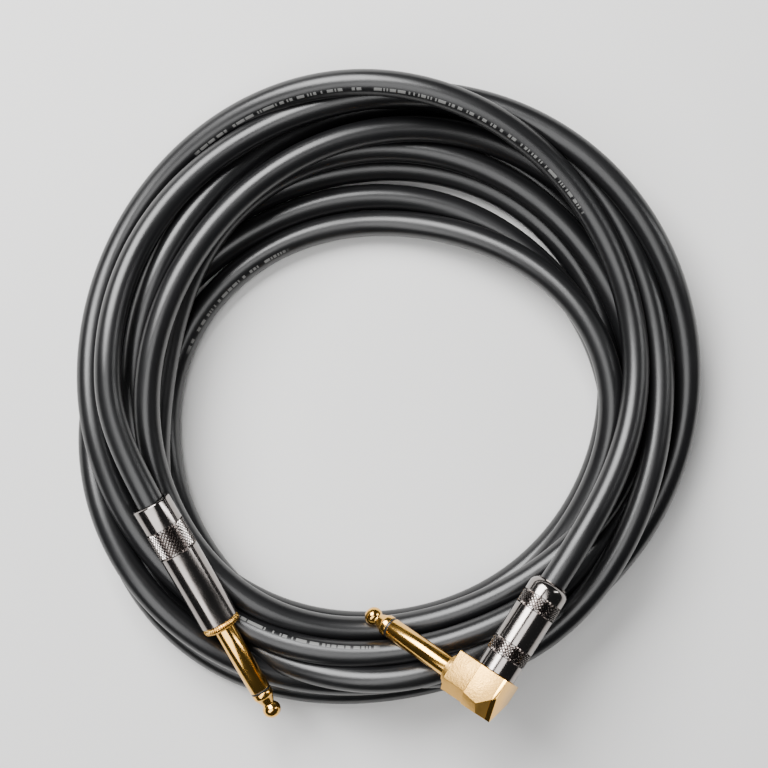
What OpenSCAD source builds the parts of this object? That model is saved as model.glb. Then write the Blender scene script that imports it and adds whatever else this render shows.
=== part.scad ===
// Instrument cable: one straight and one right-angle 1/4 inch plug on a coiled lead.
// Millimetres, +Z up. The coil lies flat on Z = 0 and both plugs lie on top of it.

/* [Cable] */
// Outer diameter of the cable jacket
cable_d = 8; // [6:0.1:8.2]
// Diameter of the insulation round the centre conductor
dielectric_d = 3.2; // [2.4:0.1:4]
// Diameter of the centre conductor
conductor_d = 1; // [0.6:0.1:1.6]

/* [Coil] */
// Outer radius of the coil
coil_r = 98; // [92:1:104]
// Radius of the open middle of the coil
eye_r = 60; // [56:1:63]
// How far the open middle sits towards -Y from the coil's centre
eye_shift = 7; // [0:0.5:8]
// Height of the coil at the crown of its bundle
coil_h = 20; // [17:0.5:21]
// Y of the coil's centre, which centres the whole part on the origin
coil_y = 0.9; // [-5:0.1:5]

/* [Plug shanks] */
// Diameter of both plug shanks
shank_d = 6.35; // [6.3:0.01:6.4]
// Length of both plug shanks from shoulder to tip
shank_len = 31.75; // [30:0.05:33]
// Length of the tip contact
tip_len = 9; // [8:0.1:10]
// Thickness of the insulating ring behind the tip
ring_len = 0.7; // [0.5:0.1:1]

/* [Barrels] */
// Outer diameter of the straight plug's barrel
straight_barrel_d = 12; // [11.8:0.1:13]
// Length of the straight plug's barrel
straight_barrel_len = 41; // [38:0.5:46]
// Outer diameter of the right-angle plug's barrel
angled_barrel_d = 12.2; // [11.8:0.1:13]
// Length of the right-angle plug's barrel
angled_barrel_len = 30.5; // [29:0.5:36]
// Diameter of the bore inside both barrels
bore_d = 10.3; // [10.2:0.05:10.5]
// Length of the screw thread that holds a barrel
thread_len = 7; // [5:0.5:8]
// Pitch of that thread
thread_pitch = 1; // [0.75:0.05:1.25]

/* [Elbow] */
// Width of the elbow across its two flat faces
elbow_w = 13.2; // [12:0.1:14]
// Length of the elbow along the shank
elbow_len = 19; // [18:0.5:21]
// From the shank's axis to the face that the barrel seats on
elbow_reach = 6.2; // [6:0.1:7]

/* [Where the plugs lie] */
// Straight plug: middle of the barrel's rear end, from the coil's centre
straight_rear = [-70.3, -33, 32];
// Straight plug: heading of the tip, degrees from +X
straight_heading = -60.8; // [-70:0.1:-50]
// Straight plug: how far the tip dips
straight_dip = 9; // [6:0.5:11]
// Right-angle plug: where its two axes cross, from the coil's centre
elbow_at = [27, -86.8, 40];
// Right-angle plug: heading of the tip, degrees from +X
angled_heading = 149; // [140:0.5:160]
// Right-angle plug: how far the tip dips
angled_dip = 27; // [22:0.5:30]
// Right-angle plug: roll about its shank, which dips the barrel
angled_roll = 5; // [2:0.5:10]

/* [Hidden] */
$fn = 96;

// Fits and walls
fit = 0.05;             // radial running clearance of the barrels on their threads and liners
gap = 0.3;              // clearance between pieces that must not touch
eps = 0.02;
liner_wall = 0.35;
rear_wall = 3;          // wall of a barrel round the cable
rear_hole_d = cable_d + 0.8;
thread_d = bore_d - 2 * fit;
thread_depth = 0.3;
liner_id = thread_d - 2 * liner_wall;

// Plug contacts, on an axis that runs from the shoulder at 0 to the tip
sleeve_len = shank_len - tip_len - ring_len;
rod_d = 1.8;
insulator_d = 3.3;
stem_d = 5.6;           // the sleeve's stem, which the collar and spigot are pressed on
insulator_tail = 1.2;   // how far the insulator's rear flange stands behind its seat

// Straight plug, on the same axis
collar_len = 2.3;
collar_d = 11.6;
collar_teeth = 40;
thread_start = -collar_len;
thread_end = thread_start - thread_len;
straight_back = -collar_len - straight_barrel_len;
straight_jacket_end = -29;

// Right-angle plug: the barrel's axis crosses the shank's axis at elbow_cross
elbow_cross = -12.6;
shoulder_len = 2.2;
shoulder_d = 10.4;
elbow_bore_d = 8;
seat_depth = 3.4;       // wall between the shank and the elbow's chamber
cap_len = 1.2;
elbow_chamfer = 3.2;    // on the two long edges that face away from the barrel
elbow_step = 0.3;       // the half by the shank is this much slimmer on three sides
elbow_step_at = 9.8;    // from the shoulder
taper_len = 9;          // the end of the elbow that narrows towards its cap
taper_angle = 7;
angled_jacket_end = 19; // from the face that the barrel seats on

// Ground lug
lug_t = 0.4;
lug_w = 3;
clamp_len = 4;
lug_d = liner_id - 2 * gap;

// Both barrels: bands of knurling, as [start, length] from the plug's end of the barrel
straight_knurls = [[24.5, 8.5]];
angled_knurls = [[5.2, 4.3], [21, 4.3]];
knurl_groove = 0.25;

// The straight run of cable behind each barrel, which leaves room to unscrew it
straight_run = 10;

// Cable from the straight plug into the coil, from the coil's centre
straight_route = [
    [-80, -12, 33], [-83, 4, 31], [-82, 22, 26], [-76, 40, 20], [-67, 55, 14]
];
// Cable from the right-angle plug into the coil, from the coil's centre
angled_route = [
    [60, -36, 34], [67, -23, 31], [72, -9, 27], [74, 6, 21], [73, 22, 14]
];
tail_sides = 12;
tail_step = 0.25;       // rings per stretch of route: 1 / tail_step

gold = [0.83, 0.62, 0.25];
black_nickel = [0.16, 0.14, 0.14];
jacket_black = [0.05, 0.05, 0.055];
clear_plastic = [0.85, 0.87, 0.88];
black_plastic = [0.08, 0.08, 0.08];
solder_grey = [0.62, 0.63, 0.65];
copper = [0.72, 0.42, 0.24];

// ---------- places ----------

module place_straight() {
    translate([0, coil_y, 0] + straight_rear)
        rotate([0, 90 + straight_dip, straight_heading])
            translate([0, 0, -straight_back]) children();
}

module place_angled() {
    translate([0, coil_y, 0] + elbow_at)
        rotate([0, 90 + angled_dip, angled_heading])
            rotate([0, 0, angled_roll])
                translate([0, 0, -elbow_cross]) children();
}

// The right-angle plug's barrel: its axis starts on the elbow's seat and leaves the elbow
module place_branch() {
    translate([0, -elbow_reach, elbow_cross]) rotate([90, 0, 0]) children();
}

// A vector turned as rotate([0, tilt, heading]) turns it
function turned(v, tilt, heading) =
    let (x = v[0] * cos(tilt) + v[2] * sin(tilt), z = v[2] * cos(tilt) - v[0] * sin(tilt))
    [x * cos(heading) - v[1] * sin(heading), x * sin(heading) + v[1] * cos(heading), z];

straight_axis = turned([0, 0, 1], 90 + straight_dip, straight_heading);
branch_axis = turned([sin(angled_roll), -cos(angled_roll), 0], 90 + angled_dip, angled_heading);

// ---------- shared pieces, each on the axis from the shoulder to the tip ----------

module tube(od, id, from, to) {
    translate([0, 0, min(from, to)])
        difference() {
            cylinder(d = od, h = abs(to - from));
            translate([0, 0, -1]) cylinder(d = id, h = abs(to - from) + 2);
        }
}

// Tip contact: shoulder, cone, neck and ball, turned on one rod with the lug's stem
module tip_contact(rod_end) {
    base = shank_len - tip_len;
    r = shank_d / 2;
    color(gold)
        rotate_extrude()
            polygon([
                [0, rod_end], [rod_d / 2, rod_end], [rod_d / 2, base], [r, base],
                [r, base + 1.6], [r - 0.35, base + 2.1], [1.55, base + 4.3], [1.55, base + 4.7],
                [2.3, base + 5.6], [2.55, base + 6.4], [2.45, base + 7.2], [1.9, base + 8.2],
                [1.1, base + 8.8], [0.45, shank_len], [0, shank_len]
            ]);
}

// Insulator: the visible ring, the tube inside the sleeve and the flange behind it
module shank_insulator(seat) {
    front = shank_len - tip_len;
    color(black_plastic) {
        tube(shank_d, rod_d, front - ring_len, front);
        tube(insulator_d, rod_d, seat - insulator_tail, front - ring_len + eps);
        tube(insulator_d + 1.6, rod_d, seat - insulator_tail, seat);
    }
}

module shank_sleeve(seat) {
    color(gold) {
        tube(shank_d, insulator_d, 0, sleeve_len);
        tube(stem_d, insulator_d, seat, eps);
    }
}

// Threaded spigot: a row of ridges, one for each turn of the thread
module thread(from, to, id) {
    turns = floor((to - from) / thread_pitch);
    root = thread_d / 2 - thread_depth;
    color(gold)
        difference() {
            union() {
                translate([0, 0, from]) cylinder(r = root, h = to - from);
                for (i = [0 : turns - 1])
                    translate([0, 0, from + i * thread_pitch + 0.25])
                        cylinder(d = thread_d, h = thread_pitch / 2);
            }
            translate([0, 0, from - 1]) cylinder(d = id, h = to - from + 2);
        }
}

// Barrel shell from 0 to len, open at 0: bore, rear wall with the cable's hole, knurled bands
module barrel(od, len, knurls, round_end) {
    color(black_nickel)
        difference() {
            rotate_extrude() barrel_profile(od / 2, len, round_end);
            translate([0, 0, -1]) cylinder(d = bore_d, h = len - rear_wall + 1);
            cylinder(d = rear_hole_d, h = len + 1);
            for (band = knurls) knurl_grooves(od, band[0], band[1]);
        }
}

module barrel_profile(r, len, round_end) {
    square([r - round_end, len]);
    square([r, len - round_end]);
    translate([r - round_end, len - round_end])
        intersection() {
            circle(r = round_end);
            square(round_end);
        }
}

// A band of shallow rings where the knurling is cut
module knurl_grooves(od, start, len) {
    count = floor(len / 1.2);
    for (i = [0 : count - 1])
        tube(od + 1, od - 2 * knurl_groove, start + i * len / count, start + i * len / count + 0.5);
}

module liner(from, to) {
    color(clear_plastic) tube(thread_d, liner_id, from, to);
}

// Ground lug on an axis that leaves the plug: plate, arm and the clamp round the cable
module ground_lug(plate_at, clamp_at) {
    arm_r = lug_d / 2;
    color(solder_grey) {
        tube(lug_d, 6.4, plate_at, plate_at + lug_t);
        intersection() {
            tube(2 * arm_r, 2 * (arm_r - lug_t), plate_at, clamp_at + clamp_len);
            translate([0, -lug_w / 2, plate_at - 1]) cube([arm_r + 1, lug_w, clamp_at + clamp_len]);
        }
        tube(2 * arm_r, cable_d, clamp_at, clamp_at + clamp_len);
    }
}

// Solder tag on the rod's end: washer and flat tongue, on an axis that leaves the plug
module tip_lug(at, tongue) {
    color(solder_grey) {
        tube(4.4, rod_d, at, at + lug_t);
        translate([1.2, -0.9, at]) cube([lug_t, 1.8, tongue]);
    }
}

module solder_bead(at, r) {
    color(solder_grey) translate(at) sphere(r = r, $fn = 48);
}

// ---------- straight plug ----------

straight_seat = thread_end;
straight_lug_at = -thread_end + insulator_tail;

// Turns an axis that leaves the plug into one that runs to the tip
module from_rear() { rotate([180, 0, 0]) children(); }

module straight_tip() { place_straight() tip_contact(straight_seat - insulator_tail - 1.2); }

module straight_insulator() { place_straight() shank_insulator(straight_seat); }

module straight_sleeve() { place_straight() shank_sleeve(straight_seat); }

// Ribbed collar between the shank and the barrel
module straight_collar() {
    rib = 360 / collar_teeth;
    color(gold)
        place_straight()
            difference() {
                union() {
                    tube(collar_d - 0.8, stem_d, -collar_len, 0);
                    tube(collar_d, stem_d, -collar_len + 0.4, -0.5);
                }
                for (i = [0 : collar_teeth - 1])
                    rotate(i * rib)
                        translate([collar_d / 2, 0, -collar_len / 2])
                            cube([0.5, 0.35, collar_len + 1], center = true);
            }
}

module straight_spigot() { place_straight() thread(thread_end, thread_start, stem_d); }

module straight_ground_lug() {
    place_straight() from_rear() ground_lug(-thread_end, -straight_jacket_end + 1);
}

module straight_tip_lug() { place_straight() from_rear() tip_lug(straight_lug_at, 6); }

module straight_dielectric() {
    color(clear_plastic)
        place_straight() translate([0, 0, straight_jacket_end]) cylinder(d = dielectric_d, h = 9);
}

module straight_conductor() {
    color(copper)
        place_straight()
            translate([0, 0, straight_jacket_end + 9])
                cylinder(d = conductor_d, h = -straight_jacket_end - 9 - straight_lug_at - 2.5);
}

module straight_shield_tail() {
    color(copper)
        place_straight()
            translate([lug_d / 2 - lug_t - 0.75, 0, straight_jacket_end])
                cylinder(d = 1.4, h = 9);
}

module straight_solder() {
    place_straight() {
        solder_bead([0.6, 0, -straight_lug_at - 4.2], 1.1);
        solder_bead([lug_d / 2 - lug_t - 0.9, 0, straight_jacket_end + 10], 1.2);
    }
}

module straight_liner() {
    place_straight() liner(straight_back + rear_wall + gap, thread_end - gap);
}

module straight_barrel() {
    place_straight()
        translate([0, 0, thread_start]) from_rear()
            barrel(straight_barrel_d, straight_barrel_len, straight_knurls, 0.6);
}

// ---------- right-angle plug ----------

angled_seat = -seat_depth - shoulder_len;
chamber_top = angled_seat;

module angled_tip() { place_angled() tip_contact(angled_seat - insulator_tail - 1.2); }

module angled_insulator() { place_angled() shank_insulator(angled_seat); }

module angled_sleeve() { place_angled() shank_sleeve(angled_seat); }

// Outline of the elbow across the shank: round away from the barrel, flat towards it
module elbow_outline(width) {
    side = width / 2;
    polygon([
        [-side, -elbow_reach], [side, -elbow_reach], [side, side - elbow_chamfer],
        [side - elbow_chamfer, side], [elbow_chamfer - side, side], [-side, side - elbow_chamfer]
    ]);
}

// Planes that narrow the far end of the elbow and its cap
module taper_cuts() {
    start = -shoulder_len - (elbow_len - shoulder_len - taper_len);
    for (side = [-1, 1])
        translate([side * elbow_w / 2, 0, start])
            rotate([0, side * taper_angle, 0])
                translate([side * 10, 0, -20]) cube([20, 60, 40], center = true);
    // Corner cuts between the flats, the seat and the end
    for (side = [-1, 1])
        translate([side * elbow_w / 2, -elbow_reach, -elbow_len])
            rotate([0, side * 35, side * 38])
                translate([side * 12.2, 0, 0]) cube([20, 60, 30], center = true);
}

module angled_elbow() {
    color(gold)
        place_angled()
            difference() {
                union() {
                    translate([0, 0, -elbow_len + cap_len])
                        linear_extrude(elbow_len - cap_len - elbow_step_at) elbow_outline(elbow_w);
                    translate([0, 0, -elbow_step_at - eps])
                        linear_extrude(elbow_step_at - shoulder_len + eps)
                            elbow_outline(elbow_w - 2 * elbow_step);
                    translate([0, 0, -shoulder_len - eps]) cylinder(d = shoulder_d, h = 1.2 + eps);
                    translate([0, 0, -shoulder_len - eps]) cylinder(d = 8.6, h = shoulder_len + eps);
                }
                taper_cuts();
                translate([0, 0, -elbow_len]) cylinder(d = elbow_bore_d, h = elbow_len + chamber_top);
                translate([0, 0, chamber_top - 1]) cylinder(d = stem_d, h = 10);
                place_branch() translate([0, 0, -elbow_reach]) cylinder(d = elbow_bore_d, h = 20);
            }
}

module angled_end_cap() {
    color(gold)
        place_angled()
            difference() {
                union() {
                    translate([0, 0, -elbow_len]) linear_extrude(cap_len) elbow_outline(elbow_w);
                    translate([0, 0, -elbow_len]) cylinder(d = elbow_bore_d - 0.04, h = cap_len + 1);
                }
                taper_cuts();
            }
}

module angled_spigot() {
    place_angled() place_branch() thread(0, thread_len, elbow_bore_d - 1.2);
}

module angled_ground_lug() {
    place_angled() place_branch() ground_lug(thread_len, angled_jacket_end + 1);
}

module angled_tip_lug() {
    at = -angled_seat + insulator_tail;
    place_angled() from_rear() tip_lug(at, 5.5);
}

module angled_dielectric() {
    color(clear_plastic)
        place_angled() place_branch()
            translate([0, 0, 7]) cylinder(d = dielectric_d, h = angled_jacket_end - 7);
}

module angled_conductor() {
    color(copper)
        place_angled() place_branch()
            translate([0, 0, -elbow_reach + 1.6]) cylinder(d = conductor_d, h = elbow_reach + 5.4);
}

module angled_shield_tail() {
    color(copper)
        place_angled() place_branch()
            translate([lug_d / 2 - lug_t - 0.75, 0, angled_jacket_end - 8])
                cylinder(d = 1.4, h = 8);
}

module angled_solder() {
    place_angled() {
        solder_bead([0.3, -0.9, elbow_cross], 1.2);
        place_branch()
            solder_bead([lug_d / 2 - lug_t - 0.9, 0, angled_jacket_end - 8.6], 1.2);
    }
}

module angled_liner() {
    place_angled() place_branch()
        liner(thread_len + gap, angled_barrel_len - rear_wall - gap);
}

module angled_barrel() {
    place_angled() place_branch()
        barrel(angled_barrel_d, angled_barrel_len, angled_knurls, 2.6);
}

// ---------- cable ----------

// Position and direction at t on a smooth curve through the points of p
function spline(p, i, t) =
    let (
        a = p[max(i - 1, 0)], b = p[i], c = p[i + 1], d = p[min(i + 2, len(p) - 1)],
        m = (c - a) / 2, n = (d - b) / 2
    )
    b * (2 * t ^ 3 - 3 * t ^ 2 + 1) + m * (t ^ 3 - 2 * t ^ 2 + t)
        + c * (3 * t ^ 2 - 2 * t ^ 3) + n * (t ^ 3 - t ^ 2);

function path(p) = concat(
    [for (i = [0 : len(p) - 2], t = [0 : tail_step : 1 - tail_step]) spline(p, i, t)],
    [p[len(p) - 1]]
);

function unit(v) = v / norm(v);

// One ring of the tube's corners round a point, square to the path
function ring_round(p, dir) =
    let (side = unit(cross(dir, [0, 0, 1])), up = cross(side, dir))
    [for (k = [0 : tail_sides - 1])
        p + cable_d / 2 * (cos(360 * k / tail_sides) * side + sin(360 * k / tail_sides) * up)];

module swept_cable(p) {
    n = len(p);
    rings = [for (i = [0 : n - 1])
        ring_round(p[i], unit(p[min(i + 1, n - 1)] - p[max(i - 1, 0)]))];
    sides = [for (i = [0 : n - 2], k = [0 : tail_sides - 1])
        [i * tail_sides + k, (i + 1) * tail_sides + k,
         (i + 1) * tail_sides + (k + 1) % tail_sides, i * tail_sides + (k + 1) % tail_sides]];
    ends = [
        [for (k = [0 : tail_sides - 1]) k],
        [for (k = [tail_sides - 1 : -1 : 0]) (n - 1) * tail_sides + k]
    ];
    polyhedron(points = [for (ring = rings) each ring], faces = concat(sides, ends));
}

// Points on the cable from a plug's inside, straight out of its barrel, then along its route
function tail_points(start, way, inside, route) = concat(
    [start, start + way * inside, start + way * (inside + straight_run)],
    [for (q = route) q]
);

module cable_tail_straight() {
    inside = straight_jacket_end - straight_back;
    start = straight_rear + straight_axis * inside;
    color(jacket_black)
        translate([0, coil_y, 0])
            swept_cable(path(tail_points(start, -straight_axis, inside, straight_route)));
}

module cable_tail_angled() {
    start = elbow_at + branch_axis * (elbow_reach + angled_jacket_end);
    color(jacket_black)
        translate([0, coil_y, 0])
            swept_cable(path(tail_points(start, branch_axis,
                                         angled_barrel_len - angled_jacket_end, angled_route)));
}

// Outer shape of the wound cable: a domed ring with an off-centre eye
module cable_coil() {
    color(jacket_black)
        translate([0, coil_y, 0])
            difference() {
                rotate_extrude($fn = 180)
                    polygon([
                        [coil_r - 55, 0], [coil_r - 1.5, 0], [coil_r, 1.5], [coil_r, 9],
                        [coil_r - 4, 13.5], [coil_r - 11, 16], [coil_r - 16, coil_h],
                        [coil_r - 24, coil_h], [coil_r - 31, 13], [coil_r - 55, 10]
                    ]);
                translate([0, -eye_shift, -1]) cylinder(r = eye_r, h = coil_h + 2, $fn = 180);
            }
}

straight_tip();
straight_insulator();
straight_sleeve();
straight_collar();
straight_spigot();
straight_ground_lug();
straight_tip_lug();
straight_conductor();
straight_dielectric();
straight_shield_tail();
straight_solder();
straight_liner();
straight_barrel();
angled_tip();
angled_insulator();
angled_sleeve();
angled_elbow();
angled_end_cap();
angled_spigot();
angled_ground_lug();
angled_tip_lug();
angled_conductor();
angled_dielectric();
angled_shield_tail();
angled_solder();
angled_liner();
angled_barrel();
cable_tail_straight();
cable_coil();
cable_tail_angled();
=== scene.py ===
import math

import bmesh
import bpy
import numpy as np
from mathutils import Matrix, Vector


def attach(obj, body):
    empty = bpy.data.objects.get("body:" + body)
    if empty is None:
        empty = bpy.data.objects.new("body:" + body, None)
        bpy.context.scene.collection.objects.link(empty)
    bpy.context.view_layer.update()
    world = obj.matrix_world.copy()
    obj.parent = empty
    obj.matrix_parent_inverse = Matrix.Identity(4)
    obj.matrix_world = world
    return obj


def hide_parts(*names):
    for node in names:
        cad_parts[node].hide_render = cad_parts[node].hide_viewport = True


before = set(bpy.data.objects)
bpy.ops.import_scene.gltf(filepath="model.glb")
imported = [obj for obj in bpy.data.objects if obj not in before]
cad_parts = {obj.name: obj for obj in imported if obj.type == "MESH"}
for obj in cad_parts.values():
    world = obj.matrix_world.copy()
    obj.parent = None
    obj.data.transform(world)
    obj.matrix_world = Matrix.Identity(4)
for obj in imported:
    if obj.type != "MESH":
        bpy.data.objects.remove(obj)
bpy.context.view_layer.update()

# An instrument cable: ten turns of black lead with a straight and a right-angle quarter-inch plug.
# Lengths in this script are millimetres, as in part.scad, and MM turns them into the frame's metres.
MM = 0.001

# ---------- values repeated from part.scad ----------

CABLE_D = 8
COIL_Y = 0.9

SHANK_D = 6.35
SHANK_LEN = 31.75
TIP_LEN = 9
RING_LEN = 0.7
SLEEVE_LEN = SHANK_LEN - TIP_LEN - RING_LEN

COLLAR_LEN = 2.3
COLLAR_D = 11.6
STRAIGHT_BARREL_D = 12
STRAIGHT_BARREL_LEN = 41
STRAIGHT_BACK = -COLLAR_LEN - STRAIGHT_BARREL_LEN
STRAIGHT_JACKET_END = -29
ANGLED_BARREL_D = 12.2
ANGLED_BARREL_LEN = 30.5
ANGLED_JACKET_END = 19
BORE_D = 10.3
REAR_WALL = 3
REAR_HOLE_D = CABLE_D + 0.8

ELBOW_REACH = 6.2
ELBOW_CROSS = -12.6

STRAIGHT_REAR = (-70.3, -33, 32)
STRAIGHT_HEADING = -60.8
STRAIGHT_DIP = 9
ELBOW_AT = (27, -86.8, 40)
ANGLED_HEADING = 149
ANGLED_DIP = 27
ANGLED_ROLL = 5
STRAIGHT_RUN = 10

STRAIGHT_KNURLS = ((24.5, 8.5),)
ANGLED_KNURLS = ((5.2, 4.3), (21, 4.3))
STRAIGHT_DOME = 0.6     # radius of each barrel's rear edge
ANGLED_DOME = 2.6

# ---------- places ----------


def turned(angle, axis):
    return Matrix.Rotation(math.radians(angle), 4, axis)


def plug_place(at, heading, dip, roll, along):
    """Plug axis from the shoulder at 0 to the tip, with the point at -along put on at."""
    centre = Vector(at) + Vector((0, COIL_Y, 0))
    lie = turned(heading, "Z") @ turned(90 + dip, "Y") @ turned(roll, "Z")
    return Matrix.Translation(centre) @ lie @ Matrix.Translation((0, 0, along))


STRAIGHT = plug_place(STRAIGHT_REAR, STRAIGHT_HEADING, STRAIGHT_DIP, 0, -STRAIGHT_BACK)
ANGLED = plug_place(ELBOW_AT, ANGLED_HEADING, ANGLED_DIP, ANGLED_ROLL, -ELBOW_CROSS)
FROM_REAR = turned(180, "X")
STRAIGHT_SHELL = STRAIGHT @ Matrix.Translation((0, 0, -COLLAR_LEN)) @ FROM_REAR
ANGLED_SHELL = ANGLED @ Matrix.Translation((0, -ELBOW_REACH, ELBOW_CROSS)) @ turned(90, "X")


def on_axis(place, z):
    """A point on the axis of a placed piece, as an array."""
    return np.array(place @ Vector((0, 0, z)))


# ---------- the wound cable ----------

# Each turn's radius at twelve directions round the coil, every 30 degrees from 330 on, as seen by
# the camera; the last value of a turn leads into the first of the next. Then the layer that it starts
# to fall from, 0 being the floor, and # where it is on view and held at its radius, . where it isn't.
# Most turns that cross start on different layers there, so that one comes to rest on the other.
TURNS = (
    ((71, 74, 79, 86, 92, 95, 94, 90, 86, 83, 79, 77), "333332111122", "############"),
    ((77, 79, 80, 82, 79, 74, 72, 73, 75, 73, 71, 70), "211122222222", "...#####.###"),
    ((73, 74, 72, 73, 73, 73, 72, 69, 75, 78, 75, 73), "211111111101", "..#####...##"),
    ((71, 69, 60, 53, 51, 54, 60, 67, 72, 77, 77, 78), "122110001111", ".########..."),
    ((81, 82, 84, 89, 87, 85, 83, 83, 86, 91, 82, 80), "222110011000", "######......"),
    ((75, 75, 76, 79, 78, 77, 77, 75, 79, 81, 80, 77), "000000110011", "...#........"),
    ((71, 67, 61, 58, 58, 62, 67, 80, 96, 100, 90, 89), "111000000000", ".######.####"),
    ((85, 86, 87, 89, 87, 82, 79, 75, 78, 77, 71, 69), "000001221000", ".######....."),
    ((67, 67, 68, 69, 67, 70, 79, 89, 93, 92, 87, 85), "000000001111", ".#####..####"),
    ((87, 91, 91, 91, 90, 87, 87, 82, 81, 81, 81, 81), "111222123333", "############"),
)
# Radius of the whole bundle's inner and outer edge at the same directions
INNER_EDGE = (63.5, 63, 56, 49, 47, 49, 55, 63, 69.5, 72.5, 67, 65.5)
OUTER_EDGE = (91.5, 94.5, 94.5, 95.5, 96.5, 98.5, 98, 95, 100.5, 104, 94.5, 93)
FIRST_DIRECTION = 330
STATIONS = 12
SLICES = 72
LAST_DIRECTION = 195    # the last turn stops here, short of the straight plug
LAYER_RISE = 7
SETTLE_STEPS = 800
STIFF_ACROSS = 6        # how strongly the cable straightens, seen from above
STIFF_UP = 3            # and seen from the side
LAST_STIFF_ACROSS = 40  # the same, once the turns lie still
LAST_STIFF_UP = 12
LOWEST = CABLE_D / 2 + 0.1
END_HEIGHTS = (34, 32, 32, 33)      # of the cable's first two and last two slices, by the plugs
END_SLICES = 3          # slices left off so that the cable leads smoothly into each plug
FALL = 0.3              # how far the turns fall in a step
SLOW_FALL = 0.08        # and over the last quarter of the steps
PULL = 0.02             # share of the way back to its own radius that a slice moves in a step
HELD_PULL = 0.15        # and what is added where the turn is on view
CONTACT_ROUNDS = 6
TOUCHING = 1.01         # distance between touching centrelines, in cable diameters
PLUG_CLEARANCE = 0.2
ELBOW_RADIUS = 6.8

CAMERA_ABOVE = 549      # from the camera down to the height that it is aimed at
AIM_HEIGHT = 14


def between_stations(values):
    """A smooth curve through one value for each station of each turn, read at every slice."""
    values = np.array(values, float)
    t = np.arange(len(values) * SLICES // STATIONS) * STATIONS / SLICES
    i = np.floor(t).astype(int)
    f = t - i
    a, b, c, d = (values[np.clip(i + k, 0, len(values) - 1)] for k in (-1, 0, 1, 2))
    rise, fall = (c - a) / 2, (d - b) / 2
    return (
        b * (2 * f**3 - 3 * f**2 + 1)
        + rise * (f**3 - 2 * f**2 + f)
        + c * (3 * f**2 - 2 * f**3)
        + fall * (f**3 - f**2)
    )


def plug_capsules():
    """What the cable is kept out of: the barrels, the shanks and the elbow, as ends and radius."""
    shank_end = SHANK_LEN - 3
    barrel_end = ANGLED_BARREL_LEN
    run_end = barrel_end + 2 * STRAIGHT_RUN
    return (
        (on_axis(STRAIGHT, STRAIGHT_BACK), on_axis(STRAIGHT, 0), STRAIGHT_BARREL_D / 2),
        (on_axis(STRAIGHT, 0), on_axis(STRAIGHT, shank_end), SHANK_D / 2),
        (on_axis(ANGLED, ELBOW_CROSS - 3), on_axis(ANGLED, ELBOW_CROSS + 6), ELBOW_RADIUS),
        (on_axis(ANGLED_SHELL, 0), on_axis(ANGLED_SHELL, barrel_end), ANGLED_BARREL_D / 2),
        (on_axis(ANGLED_SHELL, barrel_end), on_axis(ANGLED_SHELL, run_end), CABLE_D / 2),
        (on_axis(ANGLED, 0), on_axis(ANGLED, shank_end), SHANK_D / 2),
    )


def push_off(points, capsules):
    """How far each point has to move to leave the capsules."""
    move = np.zeros_like(points)
    for start, end, radius in capsules:
        axis = end - start
        t = np.clip((points - start) @ axis / (axis @ axis), 0, 1)
        away = points - (start + t[:, None] * axis)
        distance = np.linalg.norm(away, axis=1)
        depth = np.maximum(radius + CABLE_D / 2 + PLUG_CLEARANCE - distance, 0)
        move += away / distance[:, None] * depth[:, None]
    return move


def edge_all_round(radii):
    """The bundle's edge at every slice of every turn."""
    return np.tile(between_stations(radii * 3)[SLICES:2 * SLICES], len(TURNS))


def straightener(count, stiffness):
    """A matrix that straightens a line of values as a springy cable straightens."""
    bend = np.zeros((count, count))
    middle = np.arange(1, count - 1)
    bend[middle, middle - 1] = 1
    bend[middle, middle] = -2
    bend[middle, middle + 1] = 1
    return np.linalg.inv(np.eye(count) + stiffness * bend.T @ bend)


def starting_shape():
    """Each slice's height, its wanted radius and how firmly it is held there, before the turns fall."""
    layer = between_stations([int(c) for _, layers, _ in TURNS for c in layers])
    up = CABLE_D / 2 + LAYER_RISE * layer
    target = between_stations([r for radii, _, _ in TURNS for r in radii])
    target *= 1 - (up - AIM_HEIGHT) / CAMERA_ABOVE
    hold = np.clip(between_stations([c == "#" for _, _, seen in TURNS for c in seen]), 0, 1)
    return up, target, hold


def pairs_of(turns):
    """Every two turns, and a matrix that moves the two of a pair opposite ways."""
    first, second = np.triu_indices(turns, 1)
    pairs = np.arange(len(first))
    sign = np.zeros((turns, len(first)))
    sign[first, pairs] = -1
    sign[second, pairs] = 1
    return first, second, sign


def part_turns(out, up, live, pairs, ease):
    """Moves turns that overlap at a slice apart. Returns the new radii and heights."""
    first, second, sign = pairs
    r = out.reshape(live.shape)
    z = up.reshape(live.shape)
    dr = r[second] - r[first]
    dz = z[second] - z[first]
    apart = np.hypot(dr, dz) + 1e-9
    both = live[first] & live[second]
    overlap = np.where(both, np.maximum(TOUCHING * CABLE_D - apart, 0), 0) / 2
    share = 1 / np.sqrt(np.maximum(np.abs(sign) @ (overlap > 0), 1))
    r = r + sign @ (dr / apart * overlap) * share * ease
    z = z + sign @ (dz / apart * overlap) * share
    return r.ravel(), z.ravel()


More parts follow.
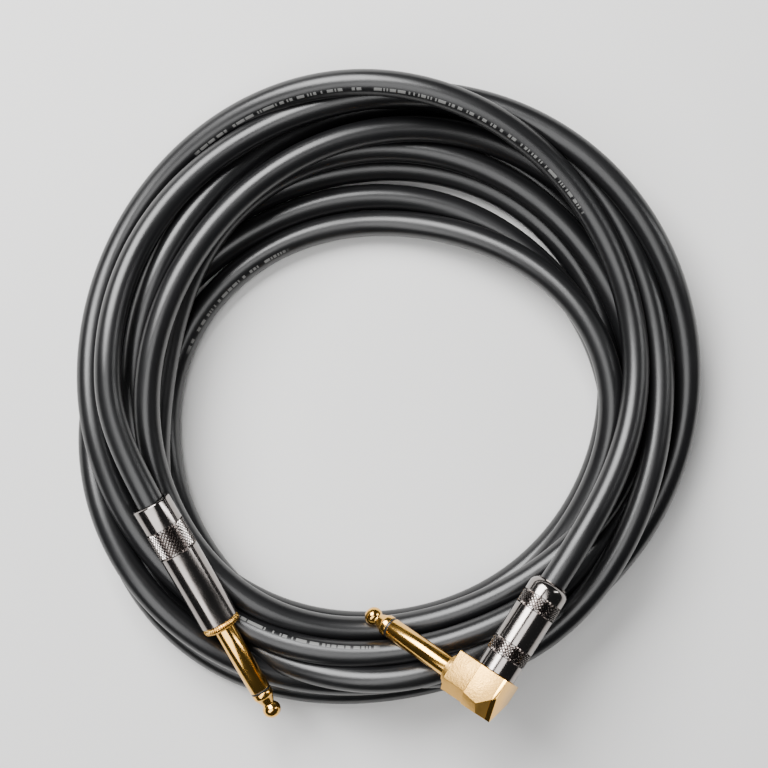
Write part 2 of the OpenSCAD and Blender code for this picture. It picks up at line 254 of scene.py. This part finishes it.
def settle():
    """Lets the turns fall on the floor and on each other. Returns points from plug to plug.

    The last smoothing comes after the contacts and isn't tested against them. It leaves some turns
    up to 4 mm inside each other and up to 3 mm inside the spaces kept for the plugs.
    """
    turns = len(TURNS)
    count = turns * SLICES
    up, target, hold = starting_shape()
    angle = np.radians(FIRST_DIRECTION + 360 / SLICES * np.arange(count))
    across, along = np.cos(angle), np.sin(angle)
    last = (turns - 1) * SLICES + (LAST_DIRECTION - FIRST_DIRECTION) % 360 * SLICES // 360
    live = (np.arange(count) <= last).reshape(turns, SLICES)
    ends = [0, 1, last - 1, last]
    free = np.ones(count, bool)
    free[ends] = False

    pairs = pairs_of(turns)
    inner = edge_all_round(INNER_EDGE) + CABLE_D / 2
    outer = edge_all_round(OUTER_EDGE) - CABLE_D / 2
    straighten_across = straightener(count, STIFF_ACROSS)
    straighten_up = straightener(count, STIFF_UP)
    ease = 1 - 0.5 * hold.reshape(turns, SLICES)
    capsules = plug_capsules()
    out = target.copy()
    for step in range(SETTLE_STEPS):
        up -= FALL if step < 0.75 * SETTLE_STEPS else SLOW_FALL
        out += (PULL + HELD_PULL * hold) * (target - out)
        out = straighten_across @ out
        up = straighten_up @ up
        for _ in range(CONTACT_ROUNDS):
            points = np.stack([out * across, out * along + COIL_Y, up], 1)
            move = push_off(points, capsules)
            out += np.where(free, move[:, 0] * across + move[:, 1] * along, 0)
            up += np.where(free, move[:, 2], 0)
            out, up = part_turns(out, up, live, pairs, ease)
            out = np.clip(out, inner, outer)
            up = np.maximum(up, LOWEST)
            up[ends] = END_HEIGHTS
    out = straightener(count, LAST_STIFF_ACROSS) @ out
    up = np.maximum(straightener(count, LAST_STIFF_UP) @ up, LOWEST)
    points = np.stack([out * across, out * along + COIL_Y, up], 1)
    return points[END_SLICES:last + 1 - END_SLICES]


def smooth_line(points, spacing):
    """Points a given distance apart on a smooth curve through the given ones."""
    points = np.array(points)
    padded = np.vstack([2 * points[0] - points[1], points, 2 * points[-1] - points[-2]])
    made = []
    for a, b, c, d in zip(padded, padded[1:], padded[2:], padded[3:]):
        ab, bc, cd = (np.linalg.norm(q - p) for p, q in ((a, b), (b, c), (c, d)))
        leave = ((b - a) * bc / ab + (c - b) * ab / bc) / (ab + bc)
        arrive = ((c - b) * cd / bc + (d - c) * bc / cd) / (bc + cd)
        steps = max(int(round(bc / spacing)), 1)
        for t in np.arange(steps) / steps:
            made.append(
                b * (2 * t**3 - 3 * t**2 + 1)
                + leave * bc * (t**3 - 2 * t**2 + t)
                + c * (3 * t**2 - 2 * t**3)
                + arrive * bc * (t**3 - t**2)
            )
    made.append(points[-1])
    return np.array(made)


def cable_line():
    """The whole cable's centreline, from inside the right-angle plug to inside the straight one."""
    inside = [on_axis(ANGLED_SHELL, ANGLED_JACKET_END), on_axis(ANGLED_SHELL, ANGLED_BARREL_LEN)]
    run = [on_axis(ANGLED_SHELL, ANGLED_BARREL_LEN + STRAIGHT_RUN)]
    rear = [on_axis(STRAIGHT, STRAIGHT_BACK), on_axis(STRAIGHT, STRAIGHT_JACKET_END)]
    return smooth_line(inside + run + list(settle()) + rear, spacing=2.5)


# ---------- mesh tools ----------


def mesh_object(name, vertices, faces, smooth=True, crease=35):
    """An object of those points, in millimetres, and faces, shaded smooth up to the crease angle."""
    mesh = bpy.data.meshes.new(name)
    mesh.from_pydata([tuple(float(x) * MM for x in v) for v in vertices], [], faces)
    mesh.validate()
    if smooth:
        mesh.shade_smooth()
        mesh.set_sharp_from_angle(angle=math.radians(crease))
    made = bpy.data.objects.new(name, mesh)
    bpy.context.scene.collection.objects.link(made)
    return made


def finish_piece(piece, material, body, replaced=()):
    """Gives a piece its material and body, and hides the CAD nodes that it stands for."""
    piece.data.materials.clear()
    piece.data.materials.append(material)
    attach(piece, body)
    if replaced:
        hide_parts(*replaced)
    return piece


def lathe(profile, steps=128, closed=False, ripple=None):
    """Points and faces of (radius, z) pairs turned about Z. ripple(angle, z) is added to a radius."""
    vertices = []
    for k in range(steps):
        angle = 2 * math.pi * k / steps
        for radius, z in profile:
            r = radius + (ripple(angle, z) if ripple else 0)
            vertices.append((r * math.cos(angle), r * math.sin(angle), z))
    rings = len(profile)
    faces = []
    for k in range(steps):
        here = k * rings
        there = (k + 1) % steps * rings
        for i in range(rings if closed else rings - 1):
            j = (i + 1) % rings
            faces.append((here + i, here + j, there + j, there + i))
    return vertices, faces


def placed(place, vertices):
    return [tuple(place @ Vector(v)) for v in vertices]


def rounded(profile, size):
    """The profile with each corner cut twice, no deeper than size, which leaves a small radius."""
    for cut in (size, size / 3):
        softer = [profile[0]]
        for a, b, c in zip(profile, profile[1:], profile[2:]):
            back = Vector(a) - Vector(b)
            on = Vector(c) - Vector(b)
            softer.append(tuple(Vector(b) + back.normalized() * min(cut, back.length / 3)))
            softer.append(tuple(Vector(b) + on.normalized() * min(cut, on.length / 3)))
        softer.append(profile[-1])
        profile = softer
    return profile


def joined(*parts):
    """Several (points, faces) pairs as one."""
    vertices, faces = [], []
    for points, polygons in parts:
        base = len(vertices)
        vertices += points
        faces += [tuple(base + i for i in polygon) for polygon in polygons]
    return vertices, faces


# ---------- plug pieces, each on its own axis ----------

TIP_BASE = SHANK_LEN - TIP_LEN
TIP_PROFILE = (
    (0.9, TIP_BASE), (3.175, TIP_BASE), (3.175, TIP_BASE + 1.6), (2.8, TIP_BASE + 2.1),
    (1.9, TIP_BASE + 4.1), (1.85, TIP_BASE + 4.5), (2.3, TIP_BASE + 5.0),
    (2.65, TIP_BASE + 5.6), (2.78, TIP_BASE + 6.3), (2.68, TIP_BASE + 7.1),
    (2.35, TIP_BASE + 7.8), (1.8, TIP_BASE + 8.35), (1.15, TIP_BASE + 8.75),
    (0.5, TIP_BASE + 8.95), (0.01, SHANK_LEN),
)
KNURL_DEPTH = 0.36
KNURL_PITCH = 1.1       # round the barrel
KNURL_RISE = 1.2        # along it
KNURL_FLAT = 0.4        # share of a diamond's width that is its flat top


def tip_contact():
    return lathe(rounded(list(TIP_PROFILE), 0.12))


def shank_sleeve():
    r = SHANK_D / 2
    return lathe(rounded([(1.7, 0), (r, 0), (r, SLEEVE_LEN), (1.7, SLEEVE_LEN)], 0.12))


def insulating_ring():
    r = SHANK_D / 2 - 0.06
    front = SLEEVE_LEN + RING_LEN
    profile = [(0.9, SLEEVE_LEN - 1), (0.9, SLEEVE_LEN), (r, SLEEVE_LEN), (r, front), (0.9, front)]
    return lathe(rounded(profile, 0.1))


def ribbed_collar():
    """The gold ring between the shank and the straight barrel, ribbed all round."""
    r = COLLAR_D / 2
    teeth = 44
    profile = rounded([
        (2.8, 0), (r - 0.9, 0), (r - 0.35, -0.35), (r, -0.75), (r, -1.6),
        (r - 0.3, -1.95), (r - 0.3, -COLLAR_LEN), (2.8, -COLLAR_LEN),
    ], 0.15)

    def ripple(angle, z):
        edge = max(0, 1 - abs(z + 1.15) / 0.95)
        return -0.22 * min(1, 3 * edge) * max(0, math.cos(teeth * angle)) ** 2

    return lathe(profile, steps=teeth * 8, ripple=ripple)


def knurl(radius, start, length):
    """A band of diamonds with flat tops, cut round a barrel."""
    around = round(2 * math.pi * radius / KNURL_PITCH)
    rows = 2 * round(length / KNURL_RISE) - 1
    half_turn = math.pi / around
    half_rise = length / (rows + 1)
    low = radius - KNURL_DEPTH
    vertices, faces = [], []
    for row in range(rows):
        z = start + (row + 1) * half_rise
        for k in range(around):
            middle = (2 * k + row % 2) * half_turn
            base = len(vertices)
            for reach, r in ((1, low), (KNURL_FLAT, radius)):
                for side, rise in ((1, 0), (0, 1), (-1, 0), (0, -1)):
                    a = middle + side * reach * half_turn
                    vertices.append((r * math.cos(a), r * math.sin(a), z + rise * reach * half_rise))
            for i in range(4):
                j = (i + 1) % 4
                faces.append((base + i, base + j, base + 4 + j, base + 4 + i))
            faces.append(tuple(base + 4 + i for i in range(4)))
    return vertices, faces


def barrel(diameter, length, knurls, dome):
    """Barrel shell, open at 0, with a hole for the cable at its rear and knurled bands."""
    r = diameter / 2
    low = r - KNURL_DEPTH
    bore, hole = BORE_D / 2, REAR_HOLE_D / 2
    outline = [(bore, 0.25), (bore + 0.1, 0), (r - 0.25, 0), (r, 0.25)]
    for start, band in knurls:
        outline += [(r, start - 0.15), (low, start + 0.1)]
        outline += [(low, start + band - 0.1), (r, start + band + 0.15)]
    for k in range(9):
        a = math.radians(90 * k / 8)
        outline.append((r - dome + dome * math.cos(a), length - dome + dome * math.sin(a)))
    outline += [(hole + 0.3, length), (hole, length - 0.4), (hole, length - REAR_WALL)]
    outline += [(bore, length - REAR_WALL), (bore, 0.25)]
    bands = [knurl(r, start, band) for start, band in knurls]
    return joined(lathe(outline), *bands)


def softened(name, width):
    """A copy of a CAD node's mesh with its flat faces joined and its edges rounded."""
    piece = bpy.data.objects.new(name + "_rounded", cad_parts[name].data.copy())
    bpy.context.scene.collection.objects.link(piece)
    shape = bmesh.new()
    shape.from_mesh(piece.data)
    bmesh.ops.remove_doubles(shape, verts=shape.verts, dist=0.01 * MM)
    bmesh.ops.dissolve_limit(
        shape, angle_limit=math.radians(1), verts=shape.verts, edges=shape.edges
    )
    sharp = [e for e in shape.edges if len(e.link_faces) == 2
             and e.calc_face_angle(0) > math.radians(20)]
    bmesh.ops.bevel(
        shape, geom=sharp, offset=width * MM, segments=3, affect="EDGES", profile=0.5,
        clamp_overlap=True,
    )
    shape.to_mesh(piece.data)
    shape.free()
    piece.data.shade_smooth()
    piece.data.set_sharp_from_angle(angle=math.radians(30))
    return piece


# ---------- the cable's mesh ----------

CABLE_SIDES = 20
PRINT_ARCS = ((0, 43, 130), (3, 125, 170), (0, 235, 268))   # turn, and from and to which direction
PRINT_AROUND = 0.355        # where the printed row lies, as a share of the way round the cable
PRINT_HALF_WIDTH = 0.02     # of the row, as a share of the way round
DASH_CELLS = 2100           # cells along a metre, each of them a dash or a gap
DASH_GAPS = 0.45            # share of the cells that are gaps


def cable_piece(line):
    """A tube along the line. Its UV runs once round it and in metres along it."""
    steps = np.diff(line, axis=0)
    ways = np.vstack([steps[:1], (steps[:-1] + steps[1:]) / 2, steps[-1:]])
    ways /= np.linalg.norm(ways, axis=1)[:, None]
    side = np.cross(ways, (0, 0, 1))
    side /= np.linalg.norm(side, axis=1)[:, None]
    up = np.cross(side, ways)
    a = 2 * math.pi * np.arange(CABLE_SIDES) / CABLE_SIDES
    ring = np.cos(a)[None, :, None] * side[:, None] + np.sin(a)[None, :, None] * up[:, None]
    vertices = (line[:, None] + CABLE_D / 2 * ring).reshape(-1, 3)
    count = len(line)
    faces = [
        (i * CABLE_SIDES + k, i * CABLE_SIDES + (k + 1) % CABLE_SIDES,
         (i + 1) * CABLE_SIDES + (k + 1) % CABLE_SIDES, (i + 1) * CABLE_SIDES + k)
        for i in range(count - 1) for k in range(CABLE_SIDES)
    ]
    faces.append(tuple(range(CABLE_SIDES - 1, -1, -1)))
    faces.append(tuple((count - 1) * CABLE_SIDES + k for k in range(CABLE_SIDES)))
    piece = mesh_object("cable", vertices, faces, crease=60)
    unroll(piece, np.concatenate([[0], np.cumsum(np.linalg.norm(steps, axis=1))]) * MM)
    printed = piece.data.attributes.new("printed", "FLOAT", "POINT")
    printed.data.foreach_set("value", np.repeat(print_share(line), CABLE_SIDES))
    return piece


def unroll(piece, travelled):
    """Gives the tube its UV, once round it and by the metres travelled at each ring."""
    uv = piece.data.uv_layers.new(name="length")
    corner = 0
    values = np.zeros(2 * len(piece.data.loops))
    for i in range(len(travelled) - 1):
        for k in range(CABLE_SIDES):
            for ring_at, turn_at in ((i, k), (i, k + 1), (i + 1, k + 1), (i + 1, k)):
                values[2 * corner] = turn_at / CABLE_SIDES
                values[2 * corner + 1] = travelled[ring_at]
                corner += 1
    uv.data.foreach_set("uv", values)


def print_share(line):
    """1 along the stretches of cable that carry printed marks, 0 elsewhere."""
    x, y = line[:, 0], line[:, 1] - COIL_Y
    turned_by = np.unwrap(np.arctan2(y, x))
    start = FIRST_DIRECTION - 360
    swept = np.degrees(turned_by - turned_by[0]) + math.degrees(math.atan2(y[0], x[0])) - start
    share = np.zeros(len(line))
    for turn, first, last in PRINT_ARCS:
        low = turn * 360 + first - start
        share[(swept > low) & (swept < low + last - first)] = 1
    return share


# ---------- materials ----------


def new_material(name, metallic=0.0, roughness=0.5):
    """A material with one Principled shader. Returns it, its nodes, its links and the shader."""
    material = bpy.data.materials.new(name)
    material.use_nodes = True
    nodes, links = material.node_tree.nodes, material.node_tree.links
    shader = nodes["Principled BSDF"]
    shader.inputs["Metallic"].default_value = metallic
    shader.inputs["Roughness"].default_value = roughness
    return material, nodes, links, shader


def object_coordinates(nodes, links, stretch=(1, 1, 1)):
    """Object coordinates in metres, stretched along the axes."""
    source = nodes.new("ShaderNodeTexCoord")
    mapping = nodes.new("ShaderNodeMapping")
    mapping.inputs["Scale"].default_value = stretch
    links.new(source.outputs["Object"], mapping.inputs["Vector"])
    return mapping.outputs["Vector"]


def noise(nodes, links, vector, scale, detail=3.0):
    texture = nodes.new("ShaderNodeTexNoise")
    texture.inputs["Scale"].default_value = scale
    texture.inputs["Detail"].default_value = detail
    links.new(vector, texture.inputs["Vector"])
    return texture.outputs["Fac"]


def between(nodes, links, value, low, high, to_low, to_high):
    """The value moved from one range to another."""
    ramp = nodes.new("ShaderNodeMapRange")
    ramp.inputs["From Min"].default_value = low
    ramp.inputs["From Max"].default_value = high
    ramp.inputs["To Min"].default_value = to_low
    ramp.inputs["To Max"].default_value = to_high
    links.new(value, ramp.inputs["Value"])
    return ramp.outputs["Result"]


def mixed_colour(nodes, links, share, first, second):
    """first where share is 0 and second where it is 1; each is a colour or a socket."""
    mix = nodes.new("ShaderNodeMix")
    mix.data_type = "RGBA"
    links.new(share, mix.inputs["Factor"])
    for name, colour in (("A", first), ("B", second)):
        socket = [i for i in mix.inputs if i.name == name and i.type == "RGBA"][0]
        if isinstance(colour, tuple):
            socket.default_value = (*colour, 1)
        else:
            links.new(colour, socket)
    return [o for o in mix.outputs if o.type == "RGBA"][0]


def bumped(nodes, links, shader, height, strength, depth):
    """Bump of the given depth in metres."""
    bump = nodes.new("ShaderNodeBump")
    bump.inputs["Strength"].default_value = strength
    bump.inputs["Distance"].default_value = depth
    links.new(height, bump.inputs["Height"])
    links.new(bump.outputs["Normal"], shader.inputs["Normal"])


def arithmetic(nodes, links, operation, *values):
    """A Math node; each value is a number or a socket."""
    node = nodes.new("ShaderNodeMath")
    node.operation = operation
    for slot, value in zip(node.inputs, values):
        if isinstance(value, (int, float)):
            slot.default_value = value
        else:
            links.new(value, slot)
    return node.outputs["Value"]


def jacket_rubber():
    """Satin black rubber with a fine grain, faint handling marks and pale printed dashes."""
    material, nodes, links, shader = new_material("jacket_rubber")
    vector = object_coordinates(nodes, links)
    smudge = noise(nodes, links, vector, 55, 4)
    grain = noise(nodes, links, vector, 2600, 2)
    links.new(between(nodes, links, smudge, 0.3, 0.7, 0.29, 0.35), shader.inputs["Roughness"])
    black = mixed_colour(nodes, links, smudge, (0.004, 0.004, 0.0045), (0.007, 0.007, 0.0075))
    dashes = printed_dashes(nodes, links)
    links.new(
        mixed_colour(nodes, links, dashes, black, (0.16, 0.16, 0.155)),
        shader.inputs["Base Color"],
    )
    shader.inputs["Specular IOR Level"].default_value = 0.6
    bumped(nodes, links, shader, grain, 0.25, 0.00005)
    return material


def printed_dashes(nodes, links):
    """1 on short dashes along the printed stretches: plain marks of random length, no letters."""
    uv = nodes.new("ShaderNodeUVMap")
    uv.uv_map = "length"
    parts = nodes.new("ShaderNodeSeparateXYZ")
    links.new(uv.outputs["UV"], parts.inputs["Vector"])
    around, along = parts.outputs["X"], parts.outputs["Y"]
    cell = arithmetic(nodes, links, "FLOOR", arithmetic(nodes, links, "MULTIPLY", along, DASH_CELLS))
    chance = nodes.new("ShaderNodeTexWhiteNoise")
    chance.noise_dimensions = "1D"
    links.new(cell, chance.inputs["W"])
    drawn = arithmetic(nodes, links, "GREATER_THAN", chance.outputs["Value"], DASH_GAPS)
    offset = arithmetic(nodes, links, "SUBTRACT", around, PRINT_AROUND)
    off_row = arithmetic(nodes, links, "ABSOLUTE", offset)
    row = arithmetic(nodes, links, "LESS_THAN", off_row, PRINT_HALF_WIDTH)
    arc = nodes.new("ShaderNodeAttribute")
    arc.attribute_name = "printed"
    drawn = arithmetic(nodes, links, "MULTIPLY", drawn, row)
    return arithmetic(nodes, links, "MULTIPLY", drawn, arc.outputs["Fac"])


def turned_metal(name, colour, dark, roughness, fine):
    """Polished metal with fine random marks, slightly darker and rougher in patches."""
    material, nodes, links, shader = new_material(name, metallic=1.0)
    vector = object_coordinates(nodes, links)
    patch = noise(nodes, links, vector, 140, 3)
    marks = noise(nodes, links, vector, 3000, 2)
    links.new(mixed_colour(nodes, links, patch, colour, dark), shader.inputs["Base Color"])
    rough = between(nodes, links, patch, 0.3, 0.7, roughness * 0.8, roughness * 1.3)
    links.new(rough, shader.inputs["Roughness"])
    bumped(nodes, links, shader, marks, fine, 0.00001)
    return material


def satin_gold():
    """Cast elbow: plating over a slightly uneven, grainy skin."""
    material, nodes, links, shader = new_material("satin_gold", metallic=1.0)
    vector = object_coordinates(nodes, links)
    patch = noise(nodes, links, vector, 260, 4)
    grain = noise(nodes, links, vector, 1500, 3)
    links.new(
        mixed_colour(nodes, links, patch, (0.78, 0.46, 0.12), (0.66, 0.36, 0.08)),
        shader.inputs["Base Color"],
    )
    links.new(between(nodes, links, patch, 0.3, 0.7, 0.33, 0.42), shader.inputs["Roughness"])
    bumped(nodes, links, shader, grain, 0.8, 0.00008)
    return material


def moulded_plastic(name, colour, roughness):
    material, nodes, links, shader = new_material(name)
    vector = object_coordinates(nodes, links)
    cloud = noise(nodes, links, vector, 400, 3)
    links.new(
        mixed_colour(nodes, links, cloud, colour, tuple(0.8 * c for c in colour)),
        shader.inputs["Base Color"],
    )
    rough = between(nodes, links, cloud, 0.3, 0.7, roughness, roughness + 0.12)
    links.new(rough, shader.inputs["Roughness"])
    bumped(nodes, links, shader, noise(nodes, links, vector, 2500, 2), 0.2, 0.00002)
    return material


def clear_plastic():
    """Milky see-through insulation."""
    material = moulded_plastic("clear_plastic", (0.86, 0.88, 0.88), 0.2)
    shader = material.node_tree.nodes["Principled BSDF"]
    shader.inputs["Transmission Weight"].default_value = 0.5
    shader.inputs["IOR"].default_value = 1.45
    return material


def fine_strands():
    """Copper strands: ridges across the bundle and warm patches."""
    material, nodes, links, shader = new_material("copper_strands", metallic=1.0)
    vector = object_coordinates(nodes, links)
    patch = noise(nodes, links, vector, 900, 3)
    links.new(
        mixed_colour(nodes, links, patch, (0.80, 0.42, 0.22), (0.55, 0.26, 0.13)),
        shader.inputs["Base Color"],
    )
    links.new(between(nodes, links, patch, 0.3, 0.7, 0.22, 0.4), shader.inputs["Roughness"])
    ridges = nodes.new("ShaderNodeTexWave")
    ridges.inputs["Scale"].default_value = 900
    links.new(vector, ridges.inputs["Vector"])
    bumped(nodes, links, shader, ridges.outputs["Fac"], 0.8, 0.00008)
    return material


# ---------- build ----------


def make_camera():
    """Looks straight down on the coil, as the photograph does."""
    view_width = 232.7
    aim = Vector((-1.8, 1.8 + COIL_Y, AIM_HEIGHT)) * MM
    data = bpy.data.cameras.new("camera")
    data.sensor_width = 36
    data.lens = data.sensor_width * CAMERA_ABOVE / view_width
    camera = bpy.data.objects.new("camera", data)
    camera.location = aim + Vector((0, 0, CAMERA_ABOVE)) * MM
    bpy.context.scene.collection.objects.link(camera)
    bpy.context.scene.camera = camera


def make_cable(material):
    """The whole cable in one piece. Returns it and its centreline."""
    line = cable_line()
    piece = cable_piece(line)
    finish_piece(
        piece, material, "root",
        ("cable_coil", "cable_tail_straight", "cable_tail_angled"),
    )
    return piece, line


def make_plug(side, place, gold, black):
    """The tip, sleeve and insulating ring that both plugs have, by what they are."""
    made = {}
    for what, (vertices, faces), material, slot in (
        ("tip", tip_contact(), gold, "gold_plating"),
        ("sleeve", shank_sleeve(), gold, "gold_plating"),
        ("insulator", insulating_ring(), black, "black_insulator"),
    ):
        piece = mesh_object(f"{side}_{what}_turned", placed(place, vertices), faces)
        finish_piece(piece, material, "root", (f"{side}_{what}",))
        made[what] = piece
    return made


def make_barrel(side, place, shape, material):
    vertices, faces = shape
    piece = mesh_object(f"{side}_barrel_knurled", placed(place, vertices), faces, crease=25)
    finish_piece(piece, material, f"{side}_barrel_body", (f"{side}_barrel",))
    return piece


def dress_cad_nodes(materials):
    """Gives the CAD nodes that stay as they are their materials."""
    for material, names in materials:
        for name in names:
            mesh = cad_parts[name].data
            mesh.materials.clear()
            mesh.materials.append(material)


def make_lights():
    """A soft box at the far left, a long one overhead for the streaks on metal, and a weak strip."""
    boxes = (
        ("key", (-0.38, 0.58, 0.76), (0.65, 0.65), 28),
        ("overhead", (-0.22, -0.24, 0.87), (0.45, 0.95), 6),
        ("right", (0.80, 0.25, 0.45), (0.08, 0.50), 1.4),
    )
    for name, at, size, power in boxes:
        data = bpy.data.lights.new(name, "AREA")
        data.shape = "RECTANGLE"
        data.size, data.size_y = size
        data.energy = power
        light = bpy.data.objects.new(name, data)
        light.location = at
        light.rotation_euler = (-Vector(at)).to_track_quat("-Z", "Y").to_euler()
        bpy.context.scene.collection.objects.link(light)
    world = bpy.data.worlds.new("studio")
    world.use_nodes = True
    background = world.node_tree.nodes["Background"]
    background.inputs["Color"].default_value = (0.9, 0.95, 1, 1)
    background.inputs["Strength"].default_value = 0.04
    bpy.context.scene.world = world


def make_floor():
    size = 3 / MM
    corners = [(-size, -size, 0), (size, -size, 0), (size, size, 0), (-size, size, 0)]
    floor = mesh_object("floor", corners, [(0, 1, 2, 3)], smooth=False)
    material, nodes, links, shader = new_material("floor_paper", roughness=0.7)
    vector = object_coordinates(nodes, links)
    cloud = noise(nodes, links, vector, 6, 2)
    links.new(
        mixed_colour(nodes, links, cloud, (0.74, 0.735, 0.725), (0.78, 0.775, 0.765)),
        shader.inputs["Base Color"],
    )
    floor.data.materials.append(material)


make_camera()
cable, line = make_cable(jacket_rubber())

gold = turned_metal("polished_gold", (1.0, 0.58, 0.14), (0.93, 0.50, 0.10), 0.15, 0.15)
satin = satin_gold()
nickel = turned_metal("black_nickel", (0.34, 0.31, 0.295), (0.27, 0.245, 0.23), 0.14, 0.15)
black = moulded_plastic("black_insulator", (0.012, 0.012, 0.012), 0.3)
solder = turned_metal("solder_and_tin", (0.68, 0.68, 0.70), (0.5, 0.5, 0.52), 0.28, 0.8)

dress_cad_nodes((
    (gold, ("straight_spigot", "angled_spigot")),
    (solder, (
        "straight_ground_lug", "straight_tip_lug", "straight_solder",
        "angled_ground_lug", "angled_tip_lug", "angled_solder",
    )),
    (clear_plastic(), (
        "straight_liner", "straight_dielectric", "angled_liner", "angled_dielectric",
    )),
    (fine_strands(), (
        "straight_conductor", "straight_shield_tail", "angled_conductor", "angled_shield_tail",
    )),
))

make_plug("straight", STRAIGHT, gold, black)
angled = make_plug("angled", ANGLED, gold, black)

vertices, faces = ribbed_collar()
collar = mesh_object("straight_collar_ribbed", placed(STRAIGHT, vertices), faces, crease=50)
finish_piece(collar, gold, "root", ("straight_collar",))

straight_shape = barrel(STRAIGHT_BARREL_D, STRAIGHT_BARREL_LEN, STRAIGHT_KNURLS, STRAIGHT_DOME)
angled_shape = barrel(ANGLED_BARREL_D, ANGLED_BARREL_LEN, ANGLED_KNURLS, ANGLED_DOME)
make_barrel("straight", STRAIGHT_SHELL, straight_shape, nickel)
angled_barrel = make_barrel("angled", ANGLED_SHELL, angled_shape, nickel)

elbow = softened("angled_elbow", 0.3)
finish_piece(elbow, satin, "root", ("angled_elbow",))
cap = softened("angled_end_cap", 0.25)
finish_piece(cap, gold, "root", ("angled_end_cap",))

make_lights()
make_floor()

on_far_end = [angled["tip"], angled["sleeve"], angled["insulator"], elbow, cap, angled_barrel]
on_far_end += [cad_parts[name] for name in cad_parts
               if name.startswith("angled_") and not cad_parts[name].hide_render]
